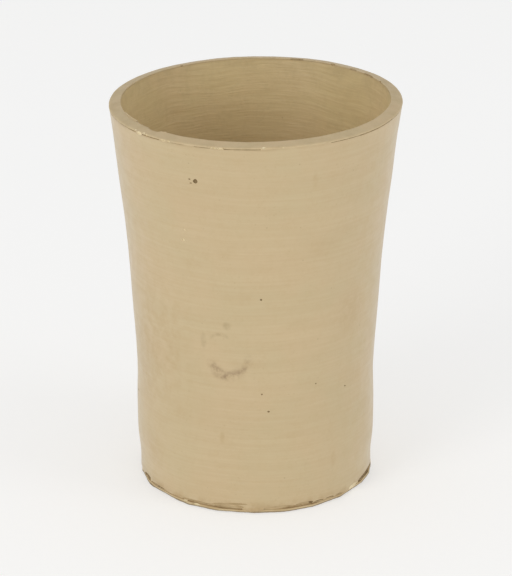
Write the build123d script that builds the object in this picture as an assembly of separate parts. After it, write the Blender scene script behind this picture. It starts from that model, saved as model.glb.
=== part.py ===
from build123d import *
import os
from math import cos, radians, sin

# A one-part cup mould of cast plaster: an open, flared wall with a poured floor,
# set on a thin plaster base and sealed outside, inside and over the rim.
# Millimetres. +Z is up, and the origin is the middle of the face it stands on.

# Overall sizes
height = 179.0
rim_radius = 65.0

# Outside of the wall, from the foot up
foot_radius = 53.0
foot_height = 11.0
shoulder_height = 11.0
shoulder_step = 1.1
band_height = 28.0
waist_draw_in = 0.35
flare_bow = 1.5

# Rim, wall and cavity
rim_wall = 5.5
rim_fall = 1.1
waist_wall = 6.0
floor_edge_wall = 6.5
cavity_bow = 1.5

# Floor of the cavity, and the groove in the wall that keys it in place
floor_thickness = 12.0
key_depth = 1.5
key_height = 4.0

# Base under the wall: a skin of plaster with a hand-broken edge, and its bedding
base_thickness = 1.8
base_corner_angles = (3, 34, 62, 95, 121, 152, 187, 196, 223, 250, 266, 290, 327)
bedding_thickness = 0.6
bedding_recess = 0.3

# Brushed sealer
coat = 0.3

# Levels and radii that follow
wall_foot = base_thickness + bedding_thickness
shoulder_top = foot_height + shoulder_height
waist_level = shoulder_top + band_height
band_radius = foot_radius + shoulder_step
waist_radius = band_radius - waist_draw_in
rim_inner_radius = rim_radius - rim_wall
floor_top = wall_foot + floor_thickness
floor_radius = foot_radius - floor_edge_wall
key_level = wall_foot + (floor_thickness - key_height) / 2


def rim_level(radius, drop):
    """Height of the rim at a radius, lowered by drop: it falls from its inner edge outwards."""
    return height - drop - rim_fall * (radius - rim_inner_radius) / rim_wall


def flare(waist, rim_edge, bow):
    """The arc from the waist up to the rim coat, drawn in towards the axis by bow."""
    rim = (rim_edge, rim_level(rim_edge, coat))
    middle = ((waist[0] + rim[0]) / 2 - bow, (waist[1] + rim[1]) / 2)
    return ThreePointArc(waist, middle, rim)


def outer_face(inset):
    """The outside from the foot up to the rim coat, drawn in by inset."""
    waist = (waist_radius - inset, waist_level)
    foot = Polyline(
        (foot_radius - inset, wall_foot),
        (foot_radius - inset, foot_height),
        (band_radius - inset, shoulder_top),
        waist,
    )
    return foot.edges() + flare(waist, rim_radius - inset, flare_bow).edges()


def cavity_face(outset, floor_level):
    """The cavity's side from the floor up to the rim coat, let out by outset."""
    waist = (waist_radius - waist_wall + outset, waist_level)
    side = Line((floor_radius + outset, floor_level), waist)
    return side.edges() + flare(waist, rim_inner_radius + outset, cavity_bow).edges()


def keyed_seat():
    """The joint of wall and floor, from the foot up to the cavity, with its groove."""
    seat = floor_radius + coat
    groove = seat + key_depth
    return Polyline(
        (seat, wall_foot),
        (seat, key_level),
        (groove, key_level),
        (groove, key_level + key_height),
        (seat, key_level + key_height),
        (seat, floor_top),
    ).edges()


def turned_between(first, second):
    """Turns the area between two lines of the half section, both drawn the same way."""
    lower_join = Line(first[0] @ 0, second[0] @ 0)
    upper_join = Line(first[-1] @ 1, second[-1] @ 1)
    area = make_face(first + second + lower_join.edges() + upper_join.edges())
    return revolve(Plane.XZ * area, Axis.Z)


def plaster_wall():
    """The cast wall, bare of its coats and open at the foot, where the floor is keyed in."""
    return turned_between(outer_face(coat), keyed_seat() + cavity_face(coat, floor_top))


def floor_slab():
    """The floor, poured into the foot of the wall."""
    return turned_between(keyed_seat(), Line((0, wall_foot), (0, floor_top)).edges())


def outer_coat():
    """Sealer on the outside."""
    return turned_between(outer_face(0), outer_face(coat))


def inner_coat():
    """Sealer on the floor and up the side of the cavity."""
    skin_top = floor_top + coat
    skin = Line((0, skin_top), (floor_radius, skin_top)).edges()
    backing = Line((0, floor_top), (floor_radius + coat, floor_top)).edges()
    return turned_between(skin + cavity_face(0, skin_top), backing + cavity_face(coat, floor_top))


def rim_coat():
    """Sealer over the rim, across the edges of the other two coats."""

    def across(drop):
        inner = (rim_inner_radius, rim_level(rim_inner_radius, drop))
        return Line(inner, (rim_radius, rim_level(rim_radius, drop))).edges()

    return turned_between(across(0), across(coat))


def base_outline():
    """The base's broken edge: flats between corners on the foot's circle."""
    turns = [radians(angle) for angle in base_corner_angles]
    return Polyline(*[(foot_radius * cos(t), foot_radius * sin(t)) for t in turns], close=True)


def base_disc():
    """The skin of plaster that it stands on."""
    return extrude(make_face(base_outline().edges()), base_thickness)


def bedding_layer():
    """Sealer that beds the wall and floor on the base, just inside the base's flats."""
    centre = Vector(0, 0)
    narrowest = min(flat.distance_to(centre) for flat in base_outline().edges())
    bed = extrude(Circle(narrowest - bedding_recess), bedding_thickness)
    return Pos(0, 0, base_thickness) * bed


PIECES = (
    plaster_wall,
    floor_slab,
    outer_coat,
    inner_coat,
    rim_coat,
    bedding_layer,
    base_disc,
)

os.makedirs("parts", exist_ok=True)
for piece in PIECES:
    export_step(piece(), f"parts/{piece.__name__}.step")
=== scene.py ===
import bpy
import math
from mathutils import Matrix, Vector


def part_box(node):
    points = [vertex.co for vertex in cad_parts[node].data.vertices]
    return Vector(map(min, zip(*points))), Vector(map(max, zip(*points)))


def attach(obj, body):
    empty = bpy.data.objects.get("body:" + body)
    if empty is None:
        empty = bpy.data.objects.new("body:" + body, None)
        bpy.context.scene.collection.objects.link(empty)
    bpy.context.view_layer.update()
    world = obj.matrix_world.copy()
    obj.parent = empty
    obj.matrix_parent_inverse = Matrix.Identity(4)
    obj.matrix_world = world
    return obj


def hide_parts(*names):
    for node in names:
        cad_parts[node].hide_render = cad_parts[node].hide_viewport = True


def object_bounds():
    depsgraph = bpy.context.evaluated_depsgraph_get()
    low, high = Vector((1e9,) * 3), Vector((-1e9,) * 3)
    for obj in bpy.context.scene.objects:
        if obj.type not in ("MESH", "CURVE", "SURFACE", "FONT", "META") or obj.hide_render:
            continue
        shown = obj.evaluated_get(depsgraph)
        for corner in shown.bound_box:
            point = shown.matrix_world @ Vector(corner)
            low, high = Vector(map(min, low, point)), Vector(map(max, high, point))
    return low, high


# A cast plaster cup mold, brushed with tan sealer, on its thin broken-edged base.
# Metres, +Z up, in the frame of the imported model.

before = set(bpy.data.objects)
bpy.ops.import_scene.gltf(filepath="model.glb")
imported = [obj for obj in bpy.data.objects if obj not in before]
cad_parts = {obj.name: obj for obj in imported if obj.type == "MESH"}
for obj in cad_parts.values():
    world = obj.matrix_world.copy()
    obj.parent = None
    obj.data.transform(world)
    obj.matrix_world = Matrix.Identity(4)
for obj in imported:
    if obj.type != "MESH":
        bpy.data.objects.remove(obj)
cad_low, cad_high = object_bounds()

MM = 0.001
# Points closer than MERGED become one, so a ring with the radius POINT closes up.
MERGED = 0.001 * MM
POINT = 0.4 * MERGED

# ---------------------------------------------------------------- sizes

# The skins are turned a little under the frame's size, so that their unevenness stays inside it.
SIDE_ROOM = 0.3 * MM
TOP_ROOM = 0.25 * MM
# How far the rim dips at its left and rises at its right, and how much more at its back.
RIM_TILT = 1.1 * MM
RIM_TWIST = 0.55 * MM
# How far the rim and the waist lean to the left.
RIM_LEAN = 0.14 * MM
WAIST_LEAN = 0.4 * MM
# How far the rim's face falls from its inner edge to its outer arris.
RIM_FALL = 1.1 * MM
RIM_RADIUS = cad_high.x - SIDE_ROOM
RIM_HEIGHT = cad_high.z - RIM_TILT - TOP_ROOM
ARRIS_HEIGHT = RIM_HEIGHT - RIM_FALL
# The sealer's thickness, and how far the rim's coat laps down the sides.
COAT = 0.3 * MM
LIP = 0.8 * MM
# The base's sole is uneven, and only its lowest places touch the bench.
BASE_SOLE = 0.29 * MM
BASE_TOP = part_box("base_disc")[1].z
WALL_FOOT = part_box("bedding_layer")[1].z
FLOOR_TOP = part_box("floor_slab")[1].z
FLOOR_FILLET = 5 * MM
# Above this the inner sealer gets duller.
BRINK_START = FLOOR_TOP + 150 * MM
# The wall's seat round the floor slab, and the groove in it that keys the slab.
SEAT_RADIUS = 46.8 * MM
KEY_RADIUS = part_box("floor_slab")[1].x
KEY_LOW = FLOOR_TOP - 8.0 * MM
KEY_HIGH = FLOOR_TOP - 4.0 * MM

# Outside of the wall, from the foot to the lip: height above the bench and radius, in millimetres.
OUTSIDE = (
    (2.4, 52.7),
    (10, 52.8),
    (21, 53.8),
    (36, 53.9),
    (50, 53.6),
    (64, 54.15),
    (84, 55.45),
    (102, 56.55),
    (122, 58.35),
    (142, 60.65),
    (163, 62.95),
    (176.5, 64.8),
)
# The wall's thickness, from the foot to the lip: height and thickness.
WALL = ((2.4, 6.4), (50, 6.0), (176.5, 5.4))

# Corners of the broken base: angle in degrees from +X, and distance from the middle.
BASE_CORNERS = (
    (-173, 52.6),
    (-158, 52.5),
    (-147, 52.3),
    (-138, 52.2),
    (-124, 52.7),
    (-107, 53.0),
    (-96, 52.4),
    (-74, 52.7),
    (-61, 52.7),
    (-49, 51.7),
    (-41, 52.1),
    (-25, 52.4),
    (-12, 52.5),
    (3, 53.0),
    (34, 52.4),
    (62, 52.9),
    (95, 52.6),
    (121, 53.0),
    (152, 52.5),
)

# Damage, each row starting with an angle in degrees from +X. Other sizes are in millimetres.
# Chips through the sealer at the outer arris: height above the arris, length, height, depth.
ARRIS_CHIPS = (
    (-140.6, -0.8, 3.4, 1.7, 0.8),
    (-143.2, 0.2, 1.7, 0.9, 0.6),
    (-138.0, 0.2, 1.6, 1.6, 0.7),
    (-136.2, -0.4, 1.1, 0.9, 0.5),
    (-127.6, -0.6, 2.9, 1.0, 0.7),
    (-124.9, -0.5, 1.4, 0.7, 0.5),
    (-106.9, -0.5, 1.0, 0.7, 0.5),
    (-105.7, -0.6, 1.3, 0.8, 0.6),
    (-103.4, -0.6, 2.5, 1.0, 0.7),
    (-101.9, -0.4, 1.0, 0.6, 0.5),
    (-86.8, 0.0, 1.4, 1.0, 0.6),
    (-79.5, -0.3, 0.9, 0.5, 0.4),
    (38, -0.4, 2.4, 1.0, 0.6),
    (71, -0.5, 1.6, 0.9, 0.6),
    (128, -0.3, 3.0, 1.2, 0.7),
    (160, -0.6, 1.5, 0.9, 0.5),
)
# Brown marks where the inner arris is worn: length, height, depth.
INNER_WEAR = (
    (71.5, 7.2, 0.7, 0.35),
    (53.7, 2.6, 1.3, 0.6),
    (42, 4.6, 0.9, 0.5),
    (31.4, 7.2, 1.0, 0.5),
    (20.9, 1.8, 1.0, 0.5),
    (124.3, 1.4, 0.9, 0.5),
    (-31, 4.0, 0.8, 0.4),
    (-163, 2.2, 0.9, 0.4),
)
# Knocks down to the cream plaster on the outside: height, length, height of the mark, depth.
WALL_KNOCKS = (
    (-120.6, 135.0, 0.9, 0.9, 0.45),
    (-121.6, 130.0, 1.2, 1.1, 0.5),
    (64, 118, 1.6, 1.2, 0.5),
    (141, 92, 1.1, 1.4, 0.5),
)
# Air holes, dark with dirt and painted shade: height, length, height of the hole, depth.
AIR_HOLES = (
    (-114.3, 159.3, 2.2, 1.9, 0.8),
    (-116.8, 159.9, 1.1, 0.6, 0.25),
    (-116.3, 158.1, 1.1, 0.4, 0.25),
    (-87.4, 104.4, 1.0, 0.9, 0.4),
    (-87.0, 58.6, 0.8, 0.8, 0.25),
    (-83.9, 50.1, 1.0, 0.8, 0.25),
    (-42.3, 55.2, 0.9, 0.7, 0.3),
    (-60.4, 60.9, 0.7, 0.6, 0.25),
    (-169.8, 41.7, 1.2, 1.2, 0.6),
    (18, 148, 1.0, 1.0, 0.6),
    (97, 63, 1.3, 1.0, 0.7),
    (156, 131, 0.9, 0.8, 0.5),
)
# Dirt and painted shade in the crevice under the rim's lip: first angle, last angle, width.
LIP_SHADE_AND_DIRT_SPANS = (
    (-168, -148, 0.22),
    (-148, -142.8, 0.42),
    (-139, -129.5, 0.4),
    (-124, -118, 0.14),
    (-114, -107.5, 0.2),
    (-102, -88, 0.34),
    (-60, -46, 0.26),
    (-46, -24, 0.42),
    (-24, -6, 0.3),
    (24, 60, 0.24),
    (86, 118, 0.3),
)
# Places at the foot where the coat has gone, down to brown size, and places dark with dirt and painted
# shade: height, length, height and depth of the mark.
FOOT_FLAKES = (
    (-122, 2.6, 22, 1.2, 0.7),
    (-104, 3.1, 15, 2.4, 0.6),
    (-99, 4.6, 9, 0.8, 0.4),
    (-78, 2.6, 15, 1.7, 0.7),
    (-66, 2.8, 8, 1.9, 0.9),
    (14, 2.5, 22, 1.6, 0.7),
    (70, 2.5, 26, 2.0, 0.7),
    (133, 2.5, 30, 1.8, 0.7),
)
FOOT_DIRT_AND_SHADE = (
    (-159, 3.0, 8, 2.4, 1.0),
    (-62.5, 2.9, 3.2, 1.2, 0.7),
    (-146, 2.5, 14, 1.3, 0.9),
    (-57.5, 2.6, 5, 1.0, 0.7),
    (-51, 2.6, 4.6, 1.1, 0.7),
    (-45, 2.5, 4.2, 0.9, 0.7),
    (-17, 3.0, 21, 3.0, 1.2),
    (45, 2.4, 18, 1.2, 0.9),
    (100, 2.4, 20, 1.4, 0.9),
    (170, 2.4, 16, 1.2, 0.8),
)
# Fresh chips in the base's edge: radius, height, length, height of the chip, depth.
BASE_CHIPS = (
    (-32.5, 53.0, 2.0, 8.8, 3.8, 1.8),
    (-127, 52.2, 1.3, 3.6, 1.3, 0.6),
    (-121, 52.3, 1.2, 4.2, 1.1, 0.5),
    (48, 52.2, 1.0, 5.0, 1.3, 0.6),
)
# Faint darker stains in the outer sealer: height, reach round the wall, reach up it, strength.
STAINS = (
    (-42, 91, 13, 17, 0.6),
    (-118, 119, 9, 3, 0.5),
    (-60, 127, 12, 6, 0.44),
    (-155, 62, 14, 30, 0.8),
    (-106, 37, 1.6, 5, 0.9),
    (-103, 126, 7, 4, 0.32),
    (-112, 124, 5, 3, 0.4),
    (-96, 104, 9, 4, 0.28),
    (-70, 92, 10, 3, 0.28),
    (-93, 73, 13, 2.5, 0.36),
    (-72, 38, 11, 2.5, 0.32),
    (-128, 45, 8, 5, 0.4),
    (-37, 58, 8, 5, 0.36),
    (-50, 22, 2.2, 6, 0.8),
    (-150, 22, 12, 12, 0.6),
    (-66, 159.5, 2, 6, 0.6),
    (30, 70, 16, 24, 0.7),
    (85, 120, 18, 14, 0.6),
    (150, 40, 14, 20, 0.7),
)


def along(points, level):
    """The value at a level on a smooth line through (level, value) points, in millimetres."""
    last = len(points) - 2
    i = min(max(sum(p[0] <= level for p in points) - 1, 0), last)
    (z0, v0), (z1, v1) = points[i], points[i + 1]
    step = z1 - z0
    before = (v1 - points[i - 1][1]) / (z1 - points[i - 1][0]) if i else (v1 - v0) / step
    after = (points[i + 2][1] - v0) / (points[i + 2][0] - z0) if i < last else (v1 - v0) / step
    t = (level - z0) / step
    return (
        (2 * t**3 - 3 * t**2 + 1) * v0
        + (t**3 - 2 * t**2 + t) * step * before
        + (3 * t**2 - 2 * t**3) * v1
        + (t**3 - t**2) * step * after
    )


def outer_radius(z):
    return along(OUTSIDE, z / MM) * MM


def inner_radius(z):
    return outer_radius(z) - along(WALL, z / MM) * MM


RIM_INNER = inner_radius(RIM_HEIGHT)


def rim_level(radius):
    """Height of the rim's face at a radius: it falls from its inner edge outwards."""
    return RIM_HEIGHT - RIM_FALL * (radius - RIM_INNER) / (RIM_RADIUS - RIM_INNER)


def levels(low, high, count):
    """Evenly spaced values from low to high."""
    return [low + (high - low) * i / (count - 1) for i in range(count)]


def around(degrees, radius, z):
    """The point at an angle, radius and height."""
    angle = math.radians(degrees)
    return Vector((radius * math.cos(angle), radius * math.sin(angle), z))


# ---------------------------------------------------------------- mesh tools


def deselect():
    for o in bpy.context.selected_objects:
        o.select_set(False)


def only(piece):
    deselect()
    piece.select_set(True)
    bpy.context.view_layer.objects.active = piece


def turn(name, section, sides=192, closed=False):
    """Turns a piece ring by ring: a circle is drawn up and resized through (radius, height) points."""
    deselect()
    radius, height = section[0]
    bpy.ops.mesh.primitive_circle_add(
        vertices=sides, radius=radius, fill_type="NOTHING", location=(0, 0, height)
    )
    piece = bpy.context.object
    piece.name = name
    bpy.ops.object.transform_apply(location=True)
    bpy.ops.object.mode_set(mode="EDIT")
    bpy.ops.mesh.select_mode(type="VERT")
    bpy.ops.mesh.select_all(action="SELECT")
    for radius_next, height_next in section[1:] + (section[:1] if closed else []):
        bpy.ops.mesh.extrude_region_move(
            TRANSFORM_OT_translate={"value": (0, 0, height_next - height)}
        )
        scale = radius_next / radius
        bpy.ops.transform.resize(value=(scale, scale, 1), center_override=(0, 0, height_next))
        radius, height = radius_next, height_next
    bpy.ops.mesh.select_all(action="SELECT")
    bpy.ops.mesh.remove_doubles(threshold=MERGED)
    bpy.ops.mesh.normals_make_consistent(inside=False)
    bpy.ops.object.mode_set(mode="OBJECT")
    return piece


def apply(piece, kind, **settings):
    """Adds a modifier to a piece and applies it."""
    only(piece)
    modifier = piece.modifiers.new(kind.title(), kind)
    for key, value in settings.items():
        setattr(modifier, key, value)
    bpy.ops.object.modifier_apply(modifier=modifier.name)


def trim(piece, point, direction):
    """Cuts away what lies beyond a plane, and closes the cut."""
    only(piece)
    bpy.ops.object.mode_set(mode="EDIT")
    bpy.ops.mesh.select_all(action="SELECT")
    bpy.ops.mesh.bisect(plane_co=point, plane_no=direction, use_fill=True, clear_outer=True)
    bpy.ops.object.mode_set(mode="OBJECT")


# ---------------------------------------------------------------- hand-made unevenness


def cloud(name, size, kind="COLOR"):
    texture = bpy.data.textures.new(name, "CLOUDS")
    texture.noise_scale = size
    texture.cloud_type = kind
    return texture


swell = cloud("swell", 60 * MM)
dents = cloud("dents", 17 * MM)
crumbs = cloud("crumbs", 1.4 * MM, "GRAYSCALE")
ripple = cloud("ripple", 5 * MM, "GRAYSCALE")


def leaning_cage():
    """A cage of three layers round the whole mold. Its waist and top lean, and its top dips."""
    centre = (0, 0, cad_high.z / 2)
    bpy.ops.object.add(type="LATTICE", location=centre)
    lattice = bpy.context.object
    lattice.scale = (2 * cad_high.x, 2 * cad_high.x, cad_high.z)
    lattice.data.points_w = 3
    for point in lattice.data.points:
        right = point.co.x > 0
        back = point.co.y > 0
        if point.co.z > 0.4:
            rise = RIM_TILT + (RIM_TWIST if back else 0)
            point.co_deform.z += (rise if right else -rise) / cad_high.z
            point.co_deform.x -= RIM_LEAN / (2 * cad_high.x)
        elif point.co.z > -0.4:
            point.co_deform.x -= WAIST_LEAN / (2 * cad_high.x)
    return lattice


cage = leaning_cage()


def roughen(piece, texture, strength, direction="NORMAL"):
    apply(
        piece,
        "DISPLACE",
        texture=texture,
        texture_coords="LOCAL",
        direction=direction,
        strength=strength,
        mid_level=0.5,
    )


def weather(piece):
    """Gives a piece the unevenness and lean that all the pieces share."""
    roughen(piece, swell, 0.5 * MM, "RGB_TO_XYZ")
    roughen(piece, dents, 0.25 * MM, "RGB_TO_XYZ")
    apply(piece, "LATTICE", object=cage)


def keep(piece, slot, *nodes):
    """Seats a finished piece in the frame, in place of the nodes it stands for."""
    only(piece)
    bpy.ops.object.shade_smooth_by_angle(angle=math.radians(40))
    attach(piece, "root")
    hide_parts(*nodes)


# ---------------------------------------------------------------- shader tools


def tone(red, green, blue):
    """A colour mixed on a 0 to 255 swatch, as the shaders need it."""
    linear = [((c / 255 + 0.055) / 1.055) ** 2.4 for c in (red, green, blue)]
    return (*linear, 1)


def add(tree, kind, wired=None, **settings):
    """Adds a node. Its inputs, by name or number, take values or the outputs of other nodes."""
    node = tree.nodes.new(kind)
    for key, value in settings.items():
        setattr(node, key, value)
    for key, value in (wired or {}).items():
        if isinstance(value, bpy.types.NodeSocket):
            tree.links.new(value, node.inputs[key])
        else:
            node.inputs[key].default_value = value
    return node


def math_node(tree, operation, first, second=0.0):
    return add(tree, "ShaderNodeMath", {0: first, 1: second}, operation=operation).outputs[0]


def step_up(tree, value, low, high):
    """A mask that rises smoothly from 0 to 1 as the value goes from low to high."""
    wired = {"Value": value, "From Min": low, "From Max": high}
    return add(tree, "ShaderNodeMapRange", wired, interpolation_type="SMOOTHSTEP").outputs[0]


def blend(tree, mask, first, second):
    """The first colour where the mask is 0, and the second where it is 1."""
    mixer = add(tree, "ShaderNodeMix", {0: mask, 6: first, 7: second}, data_type="RGBA")
    return mixer.outputs[2]


def noise(tree, vector, scale, detail=2.0, roughness=0.5):
    wired = {"Vector": vector, "Scale": scale, "Detail": detail, "Roughness": roughness}
    return add(tree, "ShaderNodeTexNoise", wired).outputs["Fac"]


def new_group(name, inputs, outputs):
    """A node group with named sockets. An input is (name, kind, value), and an output (name, kind)."""
    tree = bpy.data.node_groups.new(name, "ShaderNodeTree")
    for label, kind, value in inputs:
        socket = tree.interface.new_socket(label, in_out="INPUT", socket_type="NodeSocket" + kind)
        if value is not None:
            socket.default_value = value
    for label, kind in outputs:
        tree.interface.new_socket(label, in_out="OUTPUT", socket_type="NodeSocket" + kind)
    return tree, tree.nodes.new("NodeGroupInput").outputs, tree.nodes.new("NodeGroupOutput").inputs


def brushing_group():
    """Brush strokes that run level round the piece, and sway a little up and down."""
    tree, given, out = new_group(
        "brushing",
        (
            ("Vector", "Vector", None),
            ("Stroke Length", "Float", 30 * MM),
            ("Stroke Width", "Float", 1.3 * MM),
            ("Sway", "Float", 1 * MM),
        ),
        (("Streak", "Float"),),
    )
    drift = noise(tree, given["Vector"], 1 / (50 * MM))
    drift = math_node(tree, "SUBTRACT", drift, 0.5)
    drift = math_node(tree, "MULTIPLY", drift, given["Sway"])
    lift = add(tree, "ShaderNodeCombineXYZ", {"Z": drift}).outputs[0]
    swayed = add(tree, "ShaderNodeVectorMath", {0: given["Vector"], 1: lift}, operation="ADD")
    stroke = add(
        tree,
        "ShaderNodeCombineXYZ",
        {"X": given["Stroke Length"], "Y": given["Stroke Length"], "Z": given["Stroke Width"]},
    ).outputs[0]
    stretched = add(
        tree, "ShaderNodeVectorMath", {0: swayed.outputs[0], 1: stroke}, operation="DIVIDE"
    )
    streak = noise(tree, stretched.outputs[0], 1.0, 3.0, 0.6)
    tree.links.new(step_up(tree, streak, 0.25, 0.75), out["Streak"])
    return tree


def mottling_group():
    """Soft patches of a given size."""
    tree, given, out = new_group(
        "mottling",
        (("Vector", "Vector", None), ("Patch Size", "Float", 20 * MM)),
        (("Patch", "Float"),),
    )
    scale = math_node(tree, "DIVIDE", 1.0, given["Patch Size"])
    tree.links.new(step_up(tree, noise(tree, given["Vector"], scale), 0.3, 0.7), out["Patch"])
    return tree


def pores_group():
    """Pin holes, one in some of the cells that fill the surface."""
    tree, given, out = new_group(
        "pores",
        (
            ("Vector", "Vector", None),
            ("Spacing", "Float", 4 * MM),
            ("Pore Share", "Float", 0.12),
            ("Emptiness", "Float", 0.5),
        ),
        (("Pore", "Float"),),
    )
    scale = math_node(tree, "DIVIDE", 1.0, given["Spacing"])
    cells = add(tree, "ShaderNodeTexVoronoi", {"Vector": given["Vector"], "Scale": scale})
    near = add(
        tree,
        "ShaderNodeMapRange",
        {"Value": cells.outputs["Distance"], "From Min": given["Pore Share"], "From Max": 0.0},
    ).outputs[0]
    lot = add(tree, "ShaderNodeSeparateColor", {"Color": cells.outputs["Color"]}).outputs[0]
    chosen = math_node(tree, "GREATER_THAN", lot, given["Emptiness"])
    tree.links.new(math_node(tree, "MULTIPLY", near, chosen), out["Pore"])
    return tree


def smudge_group():
    """A soft spot round a centre, and a soft ring round its edge, both patchy."""
    tree, given, out = new_group(
        "smudge",
        (
            ("Vector", "Vector", None),
            ("Centre", "Vector", (0, 0, 0)),
            ("Reach", "Vector", (1, 1, 1)),
            ("Ring Width", "Float", 0.25),
        ),
        (("Spot", "Float"), ("Ring", "Float")),
    )
    aside = add(
        tree, "ShaderNodeVectorMath", {0: given["Vector"], 1: given["Centre"]}, operation="SUBTRACT"
    )
    share = add(
        tree, "ShaderNodeVectorMath", {0: aside.outputs[0], 1: given["Reach"]}, operation="DIVIDE"
    )
    away = add(
        tree, "ShaderNodeVectorMath", {0: share.outputs[0]}, operation="LENGTH"
    ).outputs["Value"]
    patchy = step_up(tree, noise(tree, given["Vector"], 1 / (2.4 * MM), 3.0, 0.6), 0.12, 0.78)
    spot = math_node(tree, "SUBTRACT", 1.0, step_up(tree, away, 0.2, 1.0))
    tree.links.new(math_node(tree, "MULTIPLY", spot, patchy), out["Spot"])
    off_edge = math_node(tree, "ABSOLUTE", math_node(tree, "SUBTRACT", away, 1.0))
    ring = add(
        tree,
        "ShaderNodeMapRange",
        {"Value": off_edge, "From Min": given["Ring Width"], "From Max": 0.0},
        interpolation_type="SMOOTHSTEP",
    ).outputs[0]
    tree.links.new(math_node(tree, "MULTIPLY", ring, patchy), out["Ring"])
    return tree


brushing = brushing_group()
mottling = mottling_group()
pores = pores_group()
smudge = smudge_group()


def effect(tree, group, wired, output=0):
    """Places a shared effect in a material with its own values."""
    return add(tree, "ShaderNodeGroup", wired, node_tree=group).outputs[output]


class Finish:
    """A material being mixed: its colour is laid down in coats, and then its surface is set."""

    def __init__(self, name, colour):
        self.material = bpy.data.materials.new(name)
        self.material.use_nodes = True
        self.tree = self.material.node_tree
        self.shader = self.tree.nodes["Principled BSDF"]
        self.place = add(self.tree, "ShaderNodeTexCoord").outputs["Object"]
        self.x, self.y, self.z = add(
            self.tree, "ShaderNodeSeparateXYZ", {"Vector": self.place}
        ).outputs
        self.colour = colour
        self.height = None

    def strokes(self, length, width, sway=1.0):
        """Brush strokes, sizes in millimetres."""
        sizes = {"Stroke Length": length * MM, "Stroke Width": width * MM, "Sway": sway * MM}
        return effect(self.tree, brushing, {"Vector": self.place, **sizes})

    def patches(self, size):
        """Soft patches of a size in millimetres."""
        return effect(self.tree, mottling, {"Vector": self.place, "Patch Size": size * MM})

    def pin_holes(self, spacing, share, emptiness):
        """Pin holes, their spacing in millimetres, each a share of it across."""
        values = {"Spacing": spacing * MM, "Pore Share": share, "Emptiness": emptiness}
        return effect(self.tree, pores, {"Vector": self.place, **values})

    def mark(self, centre, reach, output="Spot", ring_width=0.25):
        """A soft spot or ring round a point, its reach along X, Y and Z in millimetres."""
        values = {"Centre": centre, "Reach": [r * MM for r in reach], "Ring Width": ring_width}
        return effect(self.tree, smudge, {"Vector": self.place, **values}, output)

    def times(self, mask, other):
        return math_node(self.tree, "MULTIPLY", mask, other)

    def plus(self, mask, other):
        return math_node(self.tree, "ADD", mask, other)

    def rise(self, value, low, high):
        """A mask that goes from 0 to 1 as the value goes up from low to high."""
        return step_up(self.tree, value, low, high)

    def fall(self, value, high, low):
        """A mask that goes from 0 to 1 as the value goes down from high to low."""
        return self.rise(self.times(value, -1), -high, -low)

    def coat(self, mask, colour, strength=1.0):
        """Lays a colour over what is there, as far as the mask and strength say."""
        if strength != 1.0:
            mask = self.times(mask, strength)
        self.colour = blend(self.tree, mask, self.colour, colour)

    def raise_by(self, mask, depth):
        """Lifts the surface by the mask times a depth in millimetres, which may be negative."""
        lift = self.times(mask, depth)
        self.height = lift if self.height is None else self.plus(self.height, lift)

    def radius(self):
        """Distance from the mold's axis."""
        squares = [math_node(self.tree, "MULTIPLY", v, v) for v in (self.x, self.y)]
        return math_node(self.tree, "SQRT", math_node(self.tree, "ADD", *squares))

    def below_arris(self):
        """How far down from the leaning outer arris, in millimetres."""
        lean = self.times(self.x, RIM_TILT / RIM_RADIUS)
        level = math_node(self.tree, "SUBTRACT", self.z, lean)
        down = math_node(self.tree, "SUBTRACT", ARRIS_HEIGHT, level)
        return self.times(down, 1 / MM)

    def done(self, roughness_low, roughness_high, roughness_mask, sheen=0.0):
        """Wires the colour, roughness and surface to the shader."""
        self.shader.inputs["Sheen Weight"].default_value = sheen
        self.shader.inputs["Sheen Roughness"].default_value = 0.35
        link = self.tree.links.new
        link(self.colour, self.shader.inputs["Base Color"])
        wired = {"Value": roughness_mask, "To Min": roughness_low, "To Max": roughness_high}
        rough = add(self.tree, "ShaderNodeMapRange", wired).outputs[0]
        link(rough, self.shader.inputs["Roughness"])
        bump = add(self.tree, "ShaderNodeBump", {"Height": self.height, "Distance": MM})
        link(bump.outputs["Normal"], self.shader.inputs["Normal"])
        return self.material


# ---------------------------------------------------------------- finishes

SEALER = tone(202, 179, 140)
SEALER_PALE = tone(207, 187, 148)
SEALER_DEEP = tone(191, 166, 124)
SEALER_GREEN = tone(195, 179, 139)
# Dark brown for specks of grime, and for the dirt and painted shade in holes and at the foot.
GRIME_AND_SHADE = tone(152, 130, 92)
DARKEST_DIRT_AND_SHADE = tone(122, 100, 66)
CREAM = tone(238, 225, 192)
SIZE_BROWN = tone(150, 116, 70)


def bare_plaster():
    """Cast plaster with no sealer, as in the chips."""
    mix = Finish("bare_plaster", CREAM)
    mottle = mix.patches(3)
    mix.coat(mottle, tone(224, 206, 168), 0.7)
    mix.coat(mix.pin_holes(1.5, 0.2, 0.55), SIZE_BROWN, 0.6)
    mix.raise_by(mix.patches(0.8), 0.12)
    mix.raise_by(mix.pin_holes(1.5, 0.2, 0.55), -0.2)
    return mix.done(0.75, 0.95, mottle)


def dirt_and_shade():
    """Old dirt and painted shade, dark in holes and crevices."""
    mix = Finish("dirt_and_shade", GRIME_AND_SHADE)
    patch = mix.patches(1.2)
    mix.coat(patch, DARKEST_DIRT_AND_SHADE, 0.8)
    mix.raise_by(patch, 0.1)
    return mix.done(0.8, 0.95, patch)


def lip_dirt_and_shade():
    """Thinner dirt and painted shade along the crevice under the rim."""
    mix = Finish("lip_dirt_and_shade", tone(170, 144, 102))
    patch = mix.patches(2.4)
    mix.coat(patch, tone(132, 106, 66), 0.9)
    mix.raise_by(patch, 0.05)
    return mix.done(0.7, 0.9, patch)


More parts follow.
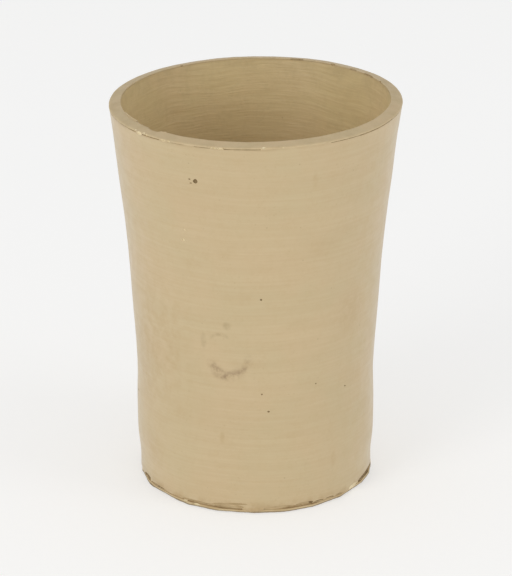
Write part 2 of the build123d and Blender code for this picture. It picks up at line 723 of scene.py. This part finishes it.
def brown_size():
    """The brown size between the wall and its base, and where the coat has flaked off it."""
    mix = Finish("brown_size", tone(190, 166, 124))
    grain = mix.strokes(9, 0.8)
    mix.coat(grain, tone(158, 131, 88), 0.7)
    mix.coat(mix.patches(5), tone(199, 177, 137), 0.6)
    mix.coat(mix.pin_holes(2.2, 0.3, 0.4), GRIME_AND_SHADE, 0.5)
    mix.raise_by(grain, 0.1)
    return mix.done(0.45, 0.75, grain)


def thumb_print(mix):
    """A dirty thumb's print: its dark lower edge, and fainter touches above it."""
    thumb = mix.mark(around(-102.6, 55.4 * MM, 78.5 * MM), (9.3, 9.3, 11.5), "Ring", 0.34)
    heel = mix.mark(around(-106, 55 * MM, 68.5 * MM), (11, 11, 9.5))
    side = mix.mark(around(-96.5, 55 * MM, 72 * MM), (7, 7, 9))
    mix.coat(mix.times(thumb, heel), tone(132, 104, 74), 0.9)
    mix.coat(mix.times(thumb, side), tone(142, 114, 82), 0.6)
    print_end = mix.mark(around(-107.5, 54.7 * MM, 67.8 * MM), (4.5, 4.5, 4))
    mix.coat(print_end, tone(150, 122, 86), 0.5)
    mix.coat(mix.mark(around(-103.3, 56.2 * MM, 91.2 * MM), (2.6, 2.6, 2.6)), GRIME_AND_SHADE, 0.5)
    knuckle = mix.mark(around(-106.5, 55.8 * MM, 80 * MM), (5.5, 5.5, 7), "Ring", 0.2)
    above = mix.mark(around(-107, 55.8 * MM, 87 * MM), (8, 8, 4))
    mix.coat(mix.times(knuckle, above), GRIME_AND_SHADE, 0.6)
    mix.coat(mix.mark(around(-114.5, 55.7 * MM, 82.9 * MM), (2, 2, 5)), GRIME_AND_SHADE, 0.4)


def stains(mix):
    """Faint darker places all over the outside."""
    for degrees, height, wide, high, strength in STAINS:
        centre = around(degrees, outer_radius(height * MM), height * MM)
        mix.coat(mix.mark(centre, (wide, wide, high)), SEALER_DEEP, strength)


def outer_sealer():
    """Tan sealer brushed on level, handled and stained in use."""
    mix = Finish("brushed_sealer_outside", SEALER)
    fine = mix.strokes(38, 1.25, 2.5)
    broad = mix.strokes(70, 5.5, 4)
    hue = mix.patches(24)
    blotch = mix.patches(5)
    grain = mix.patches(1.4)
    mix.coat(hue, SEALER_GREEN, 0.55)
    mix.coat(broad, SEALER_PALE, 0.35)
    mix.coat(fine, SEALER_DEEP, 0.34)
    worked = mix.mark(around(-141, 54.5 * MM, 76 * MM), (26, 26, 44))
    mix.coat(mix.times(worked, blotch), SEALER_DEEP, 0.8)
    mix.coat(mix.times(blotch, grain), SEALER_DEEP, 0.22)
    speckle = mix.times(mix.pin_holes(2.2, 0.24, 0.45), mix.patches(13))
    mix.coat(speckle, tone(170, 144, 104), 0.3)
    mix.coat(mix.pin_holes(7, 0.07, 0.55), GRIME_AND_SHADE, 0.55)
    thumb_print(mix)
    stains(mix)
    foot = mix.fall(mix.z, 7 * MM, 2.4 * MM)
    mix.coat(mix.times(foot, blotch), tone(170, 140, 94), 0.55)
    # Dirt and painted shade: a darker band just under the rim's lip, in patches.
    dirt_and_shade_under_lip = mix.rise(mix.below_arris(), 2.2, 0.6)
    mix.coat(mix.times(dirt_and_shade_under_lip, mix.patches(9)), tone(172, 146, 106), 0.5)
    mix.raise_by(fine, 0.045)
    mix.raise_by(broad, 0.05)
    mix.raise_by(grain, 0.02)
    return mix.done(0.44, 0.58, blotch, sheen=0.4)


def inner_sealer():
    """The same sealer inside, browner, and lighter as painted light, laid on in long swinging strokes.
    """
    # Painted light: the inside's colours are mixed lighter than the outside's, to brighten the cavity.
    mix = Finish("brushed_sealer_inside", tone(217, 193, 147))
    fine = mix.strokes(17, 1.1, 9)
    broad = mix.strokes(30, 4, 12)
    blotch = mix.patches(7)
    grain = mix.patches(1.8)
    mix.coat(mix.patches(26), tone(213, 195, 144), 0.6)
    mix.coat(broad, tone(223, 201, 155), 0.4)
    mix.coat(fine, tone(198, 173, 126), 0.45)
    mix.coat(mix.times(grain, blotch), tone(198, 176, 129), 0.4)
    mix.coat(mix.pin_holes(8, 0.07, 0.5), GRIME_AND_SHADE, 0.5)
    brink = mix.rise(mix.z, BRINK_START, RIM_HEIGHT)
    mix.coat(mix.times(brink, blotch), tone(192, 172, 128), 0.35)
    mix.raise_by(fine, 0.06)
    mix.raise_by(broad, 0.06)
    return mix.done(0.45, 0.6, blotch)


def rim_sealer():
    """Greyer sealer over the rim, paler along both edges."""
    mix = Finish("smooth_sealer_rim", tone(200, 178, 136))
    blotch = mix.patches(6)
    grain = mix.patches(1.5)
    mix.coat(mix.patches(18), tone(206, 179, 138), 0.7)
    mix.coat(blotch, tone(188, 168, 129), 0.6)
    mix.coat(grain, tone(206, 186, 147), 0.35)
    mix.coat(mix.pin_holes(5, 0.1, 0.5), GRIME_AND_SHADE, 0.4)
    # Paler along the rim's outer and inner edges, in patches.
    outer_edge = mix.rise(mix.radius(), RIM_RADIUS - 0.9 * MM, RIM_RADIUS - 0.1 * MM)
    inner_edge = mix.fall(mix.radius(), RIM_INNER + 0.8 * MM, RIM_INNER)
    paler_edges = mix.times(mix.plus(outer_edge, inner_edge), mix.patches(3.5))
    mix.coat(paler_edges, tone(208, 188, 148), 0.55)
    mix.raise_by(grain, 0.04)
    mix.raise_by(blotch, 0.05)
    return mix.done(0.45, 0.6, blotch)


def base_plaster():
    """The base: plaster smeared with sealer and brown size, bare where it broke; painted shade at both
    edges.
    """
    mix = Finish("smeared_base", tone(206, 184, 143))
    blotch = mix.patches(6)
    streak = mix.strokes(12, 0.7)
    mix.coat(blotch, tone(180, 152, 106), 0.6)
    mix.coat(streak, tone(222, 202, 160), 0.4)
    # Brown size and painted shade: darker along the base's top edge, under the wall's foot.
    size_and_shade_at_seam = mix.rise(mix.z, BASE_TOP - 0.7 * MM, BASE_TOP)
    mix.coat(size_and_shade_at_seam, tone(140, 108, 64), 0.7)
    # Painted shadow: darker along the base's bottom edge, where it meets the bench.
    sole = mix.fall(mix.z, 1.0 * MM, 0.55 * MM)
    mix.coat(sole, tone(128, 112, 88), 0.85)
    mix.coat(mix.pin_holes(2.5, 0.2, 0.5), SIZE_BROWN, 0.5)
    mix.raise_by(streak, 0.08)
    return mix.done(0.6, 0.85, blotch)


PLASTER = bare_plaster()
DIRT_AND_SHADE = dirt_and_shade()
LIP_DIRT_AND_SHADE = lip_dirt_and_shade()
BROWN_SIZE = brown_size()
OUTER_SEALER = outer_sealer()
INNER_SEALER = inner_sealer()
RIM_SEALER = rim_sealer()
BASE_PLASTER = base_plaster()


def finish_with(piece, material):
    piece.data.materials.clear()
    piece.data.materials.append(material)


# ---------------------------------------------------------------- turned pieces


def plaster_shell():
    """The bare wall under the sealer, with the groove that keys the floor."""
    top = RIM_HEIGHT - COAT
    outside = [(outer_radius(z) - COAT, z) for z in levels(WALL_FOOT, ARRIS_HEIGHT - COAT, 70)]
    inside = [(inner_radius(z) + COAT, z) for z in levels(top, FLOOR_TOP, 66)]
    seat = [
        (SEAT_RADIUS, KEY_HIGH),
        (KEY_RADIUS, KEY_HIGH),
        (KEY_RADIUS, KEY_LOW),
        (SEAT_RADIUS, KEY_LOW),
        (SEAT_RADIUS, WALL_FOOT),
    ]
    return turn("plaster_shell", outside + inside + seat, closed=True)


def outside_skin():
    """The brushed coat outside, from the foot to the lip of the rim's coat."""
    section = [(outer_radius(z), z) for z in levels(WALL_FOOT, ARRIS_HEIGHT - LIP, 84)]
    piece = turn("outside_skin", section, 320)
    apply(piece, "SOLIDIFY", thickness=COAT, offset=-1)
    return piece


def inside_skin():
    """The coat inside, down the cavity's side and over its floor."""
    floor = FLOOR_TOP + COAT
    side = [(inner_radius(z), z) for z in levels(RIM_HEIGHT - LIP, floor + FLOOR_FILLET, 70)]
    foot_radius = side[-1][0] - FLOOR_FILLET
    fillet = [
        (foot_radius + FLOOR_FILLET * math.cos(t), floor + FLOOR_FILLET * (1 - math.sin(t)))
        for t in levels(0, math.pi / 2, 7)[1:]
    ]
    bottom = [(foot_radius * share, floor) for share in (0.8, 0.6, 0.4, 0.2, 0.08)]
    bottom.append((POINT, floor))
    piece = turn("inside_skin", side + fillet + bottom, 256)
    apply(piece, "SOLIDIFY", thickness=COAT, offset=1)
    return piece


def rim_skin():
    """The coat over the rim: its face, its rounded edges and the lips that lap down both sides."""
    proud = 0.09 * MM
    low = COAT + LIP
    faces = levels(RIM_RADIUS - 0.5 * MM, RIM_INNER + 0.4 * MM, 8)
    outer = [
        (RIM_RADIUS - 0.02 * MM, ARRIS_HEIGHT - LIP),
        (RIM_RADIUS + proud, ARRIS_HEIGHT - 0.8 * LIP),
        (RIM_RADIUS + proud, ARRIS_HEIGHT - 0.5 * LIP),
        (RIM_RADIUS, ARRIS_HEIGHT - 0.2 * LIP),
        (RIM_RADIUS - 0.2 * MM, ARRIS_HEIGHT),
    ]
    face = [(radius, rim_level(radius)) for radius in faces]
    inner = [
        (RIM_INNER + 0.12 * MM, RIM_HEIGHT - 0.09 * MM),
        (RIM_INNER - 0.02 * MM, RIM_HEIGHT - 0.3 * MM),
        (RIM_INNER - proud, RIM_HEIGHT - 0.6 * LIP),
        (RIM_INNER, RIM_HEIGHT - LIP),
    ]
    under = [
        (RIM_INNER + COAT, RIM_HEIGHT - LIP),
        (RIM_INNER + COAT, RIM_HEIGHT - COAT),
        (RIM_RADIUS - COAT, ARRIS_HEIGHT - COAT),
        (RIM_RADIUS - COAT, ARRIS_HEIGHT - LIP),
    ]
    piece = turn("rim_skin", outer + face + inner + under, 640, closed=True)
    roughen(piece, ripple, 0.12 * MM)
    roughen(piece, crumbs, 0.07 * MM)
    return piece


# ---------------------------------------------------------------- base and bedding


def select_faces(piece, wanted):
    """Selects the faces of a piece that are wanted, in edit mode."""
    only(piece)
    bpy.ops.object.mode_set(mode="EDIT")
    bpy.ops.mesh.select_mode(type="FACE")
    bpy.ops.mesh.select_all(action="DESELECT")
    bpy.ops.object.mode_set(mode="OBJECT")
    for face in piece.data.polygons:
        face.select = wanted(face)
    bpy.ops.object.mode_set(mode="EDIT")


def break_edge(piece):
    """Breaks a disc to short flats between the base's corners, each leaning its own way."""
    for i, (degrees, distance) in enumerate(BASE_CORNERS):
        start = around(degrees, distance * MM, BASE_TOP)
        next_degrees, next_distance = BASE_CORNERS[(i + 1) % len(BASE_CORNERS)]
        end = around(next_degrees, next_distance * MM, BASE_TOP)
        run = (end - start).normalized()
        lean = 0.35 * math.sin(2.3 * i)
        trim(piece, start, (run.y, -run.x, lean))


def base():
    """A thin disc with a broken edge and rough faces."""
    deselect()
    radius = max(corner[1] for corner in BASE_CORNERS) * MM
    bpy.ops.mesh.primitive_cylinder_add(
        vertices=240,
        radius=radius,
        depth=BASE_TOP - BASE_SOLE,
        location=(0, 0, (BASE_TOP + BASE_SOLE) / 2),
    )
    piece = bpy.context.object
    piece.name = "base"
    bpy.ops.object.transform_apply(location=True)
    break_edge(piece)
    select_faces(piece, lambda face: abs(face.normal.z) < 0.9)
    bpy.ops.mesh.subdivide(number_cuts=24)
    bpy.ops.object.mode_set(mode="OBJECT")
    # The top and the sole are drawn in twice, so that their edges can be roughened.
    select_faces(piece, lambda face: abs(face.normal.z) > 0.99 and len(face.vertices) > 100)
    for share in (0.97, 0.94):
        bpy.ops.mesh.extrude_region_move()
        bpy.ops.transform.resize(value=(share, share, 1), center_override=(0, 0, 0))
    bpy.ops.object.mode_set(mode="OBJECT")
    roughen(piece, ripple, 0.3 * MM)
    roughen(piece, crumbs, 0.16 * MM)
    return piece


def bedding():
    """The squeezed-out size between the wall and the base."""
    section = [(radius * MM, BASE_TOP) for radius in (52.0, 51.2, 49.5, 40, 24)]
    piece = turn("bedding", section + [(POINT, BASE_TOP)], 320)
    apply(piece, "SOLIDIFY", thickness=WALL_FOOT - BASE_TOP, offset=1)
    roughen(piece, ripple, 0.5 * MM)
    return piece


# ---------------------------------------------------------------- damage


# A lump longer than this, in millimetres, gets a finer mesh.
LONG_LUMP = 5


def lump(name, degrees, radius, z, length, height, depth, material):
    """A rough lump, half sunk in the mold and bent round it. Its own sizes are in millimetres."""
    deselect()
    bpy.ops.mesh.primitive_ico_sphere_add(
        subdivisions=5 if length > LONG_LUMP else 3,
        radius=1,
        location=(0, 0, 0),
        scale=(length * MM / 2, depth * MM, height * MM / 2),
    )
    piece = bpy.context.object
    piece.name = name
    bpy.ops.object.transform_apply(scale=True)
    bend = {"deform_method": "BEND", "deform_axis": "Z", "angle": length * MM / radius}
    apply(piece, "SIMPLE_DEFORM", **bend)
    piece.location = around(degrees, radius, z)
    piece.rotation_euler.z = math.radians(degrees + 90)
    bpy.ops.object.transform_apply(location=True, rotation=True)
    roughen(piece, crumbs, 0.5 * min(height, depth) * MM)
    finish_with(piece, material)
    weather(piece)
    return piece


def arc(name, start, end, radius, z, height, depth, material):
    """Part of a rough ring from one angle to another. Its height and depth are in millimetres."""
    deselect()
    bpy.ops.mesh.primitive_torus_add(
        major_radius=radius,
        minor_radius=depth * MM,
        major_segments=600,
        minor_segments=10,
        location=(0, 0, z),
    )
    piece = bpy.context.object
    piece.name = name
    piece.scale.z = height / 2 / depth
    bpy.ops.object.transform_apply(location=True, scale=True)
    for degrees, way in ((start, -90), (end, 90)):
        trim(piece, (0, 0, z), around(degrees + way, 1, 0))
    roughen(piece, crumbs, 0.8 * min(height / 2, depth) * MM)
    finish_with(piece, material)
    weather(piece)
    return piece


def lumps_to_cut():
    """The chips, knocks, holes and notch, in the finish that each hole shows."""
    for i, (degrees, up, length, height, depth) in enumerate(ARRIS_CHIPS):
        z = ARRIS_HEIGHT + up * MM
        yield lump(f"arris_chip_{i}", degrees, RIM_RADIUS, z, length, height, depth, PLASTER)
    for i, (degrees, z, length, height, depth) in enumerate(WALL_KNOCKS):
        z *= MM
        yield lump(f"knock_{i}", degrees, outer_radius(z), z, length, height, depth, PLASTER)
    for i, (degrees, z, length, height, depth) in enumerate(AIR_HOLES):
        z *= MM
        yield lump(f"air_hole_{i}", degrees, outer_radius(z), z, length, height, depth, DIRT_AND_SHADE)
    for i, (degrees, radius, z, length, height, depth) in enumerate(BASE_CHIPS):
        radius, z = radius * MM, z * MM
        yield lump(f"base_chip_{i}", degrees, radius, z, length, height, depth, PLASTER)
    yield lump("inner_notch", -136.8, RIM_INNER, RIM_HEIGHT, 8.5, 2.4, 1.9, RIM_SEALER)


def inner_wear():
    """Brown worn places along the rim's inner arris, and the shallow dip beside the notch."""
    z = RIM_HEIGHT - 0.35 * MM
    for i, (degrees, length, height, depth) in enumerate(INNER_WEAR):
        yield lump(f"worn_{i}", degrees, RIM_INNER, z, length, height, depth, BROWN_SIZE)
    yield lump("inner_dip", -141.5, RIM_INNER, RIM_HEIGHT, 17, 1.1, 1.1, RIM_SEALER)


def lip_arcs():
    """The crevice under the lip, dark with dirt and painted shade."""
    z = ARRIS_HEIGHT - LIP
    for i, (start, end, width) in enumerate(LIP_SHADE_AND_DIRT_SPANS):
        yield arc(f"lip_{i}", start, end, outer_radius(z) + 0.05 * MM, z, width, 0.28, LIP_DIRT_AND_SHADE)


def foot_lumps(name, marks, material):
    """Flaked places, and places dark with dirt and painted shade, along the foot."""
    for i, (degrees, z, length, height, depth) in enumerate(marks):
        z *= MM
        yield lump(f"{name}_{i}", degrees, outer_radius(z), z, length, height, depth, material)


def join(name, parts):
    """Makes one object of several."""
    only(parts[0])
    for part in parts[1:]:
        part.select_set(True)
    bpy.ops.object.join()
    parts[0].name = name
    return parts[0]


def cut_out(pieces, tool):
    """Takes a tool's lumps out of the pieces, which keep its finishes in the holes."""
    for piece in pieces:
        apply(
            piece,
            "BOOLEAN",
            operation="DIFFERENCE",
            object=tool,
            solver="MANIFOLD",
            material_mode="TRANSFER",
        )
    bpy.data.objects.remove(tool)


# ---------------------------------------------------------------- the mold

# Each piece: how it is made, its finish, its slot, and the node of the frame that it stands for.
PIECES = (
    (plaster_shell, PLASTER, "cast_plaster", "plaster_wall"),
    (outside_skin, OUTER_SEALER, "outer_sealer", "outer_coat"),
    (inside_skin, INNER_SEALER, "inner_sealer", "inner_coat"),
    (rim_skin, RIM_SEALER, "rim_sealer", "rim_coat"),
    (base, BASE_PLASTER, "base_plaster", "base_disc"),
    (bedding, BROWN_SIZE, "brown_bedding", "bedding_layer"),
)

made = {}
for make, material, slot, cad_node in PIECES:
    piece = make()
    finish_with(piece, material)
    weather(piece)
    made[cad_node] = piece

drip = arc("drip", -161, -148.4, RIM_INNER + 0.15 * MM, RIM_HEIGHT, 0.7, 0.3, RIM_SEALER)
bead = lump("bead", -130.8, RIM_INNER + 0.3 * MM, RIM_HEIGHT - 0.6 * MM, 3.4, 1.4, 0.9, RIM_SEALER)
join("rim_skin", [made["rim_coat"], drip, bead])
smear = lump("smear", -91.5, 51.9 * MM, 2.1 * MM, 10.5, 2.8, 0.8, OUTER_SEALER)
join("outside_skin", [made["outer_coat"], smear])
lips = list(lip_arcs())
flakes = list(foot_lumps("flake", FOOT_FLAKES, BROWN_SIZE))
# Dirt and painted shade along the wall's bottom edge.
foot_dirt_and_shade = list(foot_lumps("foot_dirt_and_shade", FOOT_DIRT_AND_SHADE, DIRT_AND_SHADE))
cut_out(made.values(), join("lumps", list(lumps_to_cut())))
# Marks that overlap are cut one after the other.
cut_out(made.values(), join("paler_edges", list(inner_wear())))
cut_out(made.values(), join("even_marks", lips[::2] + flakes[::2] + foot_dirt_and_shade[::2]))
cut_out(made.values(), join("odd_marks", lips[1::2] + flakes[1::2] + foot_dirt_and_shade[1::2]))
for _, _, slot, cad_node in PIECES:
    keep(made[cad_node], slot, cad_node)
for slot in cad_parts["floor_slab"].material_slots:
    slot.material = PLASTER

# ---------------------------------------------------------------- camera, light, floor

AIM_HEIGHT = 1.353 * RIM_RADIUS
CAMERA_DISTANCE = 22.37 * RIM_RADIUS
CAMERA_ELEVATION = math.radians(21.57)
LENS = 200.5
SENSOR_WIDTH = 36
FLOOR_SIZE = 30
# Soft lamps: name, width, power in watts, and place.
LAMPS = (
    ("left", 1.4, 17, (-1.7, -2.0, 1.15)),
    ("right", 1.4, 9, (2.3, -1.0, 1.1)),
)


def camera():
    """Looks down at the mold from in front."""
    data = bpy.data.cameras.new("camera")
    data.lens = LENS
    data.sensor_width = SENSOR_WIDTH
    data.clip_end = 50
    seen_by = bpy.data.objects.new("camera", data)
    bpy.context.scene.collection.objects.link(seen_by)
    seen_by.location = (
        0,
        -CAMERA_DISTANCE * math.cos(CAMERA_ELEVATION),
        AIM_HEIGHT + CAMERA_DISTANCE * math.sin(CAMERA_ELEVATION),
    )
    seen_by.rotation_euler = (math.pi / 2 - CAMERA_ELEVATION, 0, 0)
    bpy.context.scene.camera = seen_by


def floor_sheet():
    """A plain pale sheet that runs well past the view."""
    deselect()
    bpy.ops.mesh.primitive_plane_add(size=FLOOR_SIZE)
    sheet = bpy.context.object
    sheet.name = "floor"
    paper = bpy.data.materials.new("paper")
    paper.use_nodes = True
    shader = paper.node_tree.nodes["Principled BSDF"]
    shader.inputs["Base Color"].default_value = (0.62, 0.62, 0.617, 1)
    shader.inputs["Roughness"].default_value = 0.9
    shader.inputs["Specular IOR Level"].default_value = 0.1
    shader.inputs["Emission Color"].default_value = (1, 1, 0.995, 1)
    shader.inputs["Emission Strength"].default_value = 0.44
    finish_with(sheet, paper)


def soft_lamp(name, size, power, place):
    """A round soft lamp at a place, aimed at the mold."""
    lamp = bpy.data.lights.new(name, "AREA")
    lamp.shape = "DISK"
    lamp.size = size
    lamp.energy = power
    holder = bpy.data.objects.new(name, lamp)
    bpy.context.scene.collection.objects.link(holder)
    holder.location = place
    aim = Vector((0, 0, cad_high.z / 2)) - holder.location
    holder.rotation_euler = aim.to_track_quat("-Z", "Y").to_euler()


def light():
    """Even white light from all round, and the soft lamps."""
    world = bpy.data.worlds.new("studio")
    bpy.context.scene.world = world
    world.use_nodes = True
    background = world.node_tree.nodes["Background"].inputs
    background["Color"].default_value = (1, 1, 1, 1)
    background["Strength"].default_value = 0.65
    for lamp in LAMPS:
        soft_lamp(*lamp)


camera()
floor_sheet()
light()
bpy.context.scene.view_settings.view_transform = "Standard"

bpy.data.objects.remove(cage)
